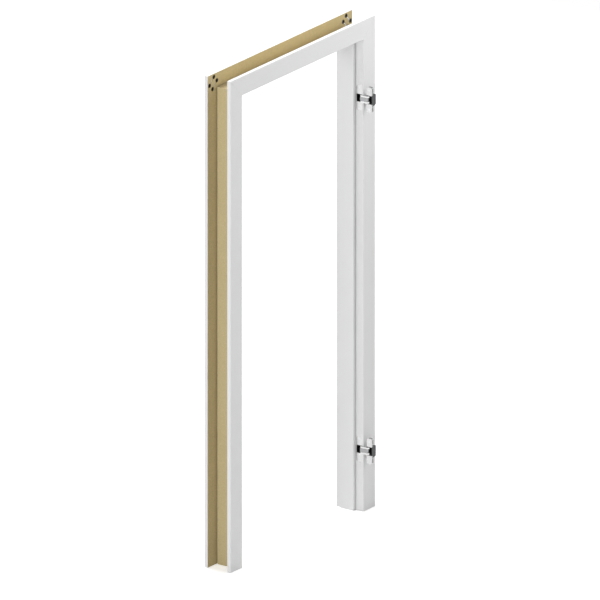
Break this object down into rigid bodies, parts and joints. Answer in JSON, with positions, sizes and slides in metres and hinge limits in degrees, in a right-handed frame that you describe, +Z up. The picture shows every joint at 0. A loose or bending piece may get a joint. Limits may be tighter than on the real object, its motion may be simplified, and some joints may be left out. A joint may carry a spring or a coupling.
{
  "type": "adjustable door frame",
  "caption": "White rebated door frame whose rear casing slides in the jamb to suit the wall's thickness, with concealed hinges shown open.",
  "frame": {"origin": "outer foot of the left leg, on the front casing's wall-side face, at floor level", "axes": "+X across the opening to the hinge side, +Y into the wall, +Z up"},
  "size_m": [1.014, 0.173, 2.112],
  "materials": {
    "white_coated_board": "satin",
    "grey_seal": "matte",
    "satin_nickel": "satin",
    "dark_cast_metal": "matte",
    "zinc_steel": "satin"
  },
  "bodies": {
    "frame": {"front_casing_left": "white_coated_board", "jamb_left": "white_coated_board", "seal_left": "grey_seal", "front_casing_right": "white_coated_board", "jamb_right": "white_coated_board", "seal_right": "grey_seal", "front_casing_head": "white_coated_board", "jamb_head": "white_coated_board", "seal_head": "grey_seal", "lower_hinge_frame_plate": "satin_nickel", "lower_hinge_frame_cup": "dark_cast_metal", "upper_hinge_frame_plate": "satin_nickel", "upper_hinge_frame_cup": "dark_cast_metal"},
    "rear_casing": {"rear_casing_left": "white_coated_board", "rear_casing_right": "white_coated_board", "rear_casing_head": "white_coated_board"},
    "lower_hinge_fork": {"lower_hinge_fork_arm": "satin_nickel"},
    "lower_hinge_link": {"lower_hinge_link_arm": "satin_nickel"},
    "lower_hinge_door_side": {"lower_hinge_door_wings": "satin_nickel", "lower_hinge_door_housing": "dark_cast_metal"},
    "upper_hinge_fork": {"upper_hinge_fork_arm": "satin_nickel"},
    "upper_hinge_link": {"upper_hinge_link_arm": "satin_nickel"},
    "upper_hinge_door_side": {"upper_hinge_door_wings": "satin_nickel", "upper_hinge_door_housing": "dark_cast_metal"}
  },
  "joints": [
    {"name": "rear_casing_slide", "type": "slide", "parent": "frame", "child": "rear_casing", "axis": [0, 1, 0], "range_m": [-0.001, 0.019]},
    {"name": "lower_hinge_swing", "type": "hinge", "parent": "frame", "child": "lower_hinge_fork", "pos_m": [0.9445, -0.004, 0.265], "axis": [0, 0, 1], "range_deg": [-93.46, 0]},
    {"name": "lower_hinge_link_turn", "type": "hinge", "parent": "lower_hinge_fork", "child": "lower_hinge_link", "pos_m": [0.92844, -0.02, 0.265], "axis": [0, 0, 1], "range_deg": [0, 6.94]},
    {"name": "lower_hinge_door_turn", "type": "hinge", "parent": "lower_hinge_link", "child": "lower_hinge_door_side", "pos_m": [0.9445, -0.036, 0.265], "axis": [0, 0, 1], "range_deg": [-93.46, 0]},
    {"name": "upper_hinge_swing", "type": "hinge", "parent": "frame", "child": "upper_hinge_fork", "pos_m": [0.9445, -0.004, 1.775], "axis": [0, 0, 1], "range_deg": [-93.46, 0]},
    {"name": "upper_hinge_link_turn", "type": "hinge", "parent": "upper_hinge_fork", "child": "upper_hinge_link", "pos_m": [0.92844, -0.02, 1.775], "axis": [0, 0, 1], "range_deg": [0, 6.94]},
    {"name": "upper_hinge_door_turn", "type": "hinge", "parent": "upper_hinge_link", "child": "upper_hinge_door_side", "pos_m": [0.9445, -0.036, 1.775], "axis": [0, 0, 1], "range_deg": [-93.46, 0]}
  ],
  "couplings": [
    {"joint": "lower_hinge_link_turn", "follows": "lower_hinge_swing", "ratio": -0.07414},
    {"joint": "lower_hinge_door_turn", "follows": "lower_hinge_swing", "ratio": 1},
    {"joint": "upper_hinge_link_turn", "follows": "upper_hinge_swing", "ratio": -0.07414},
    {"joint": "upper_hinge_door_turn", "follows": "upper_hinge_swing", "ratio": 1}
  ]
}
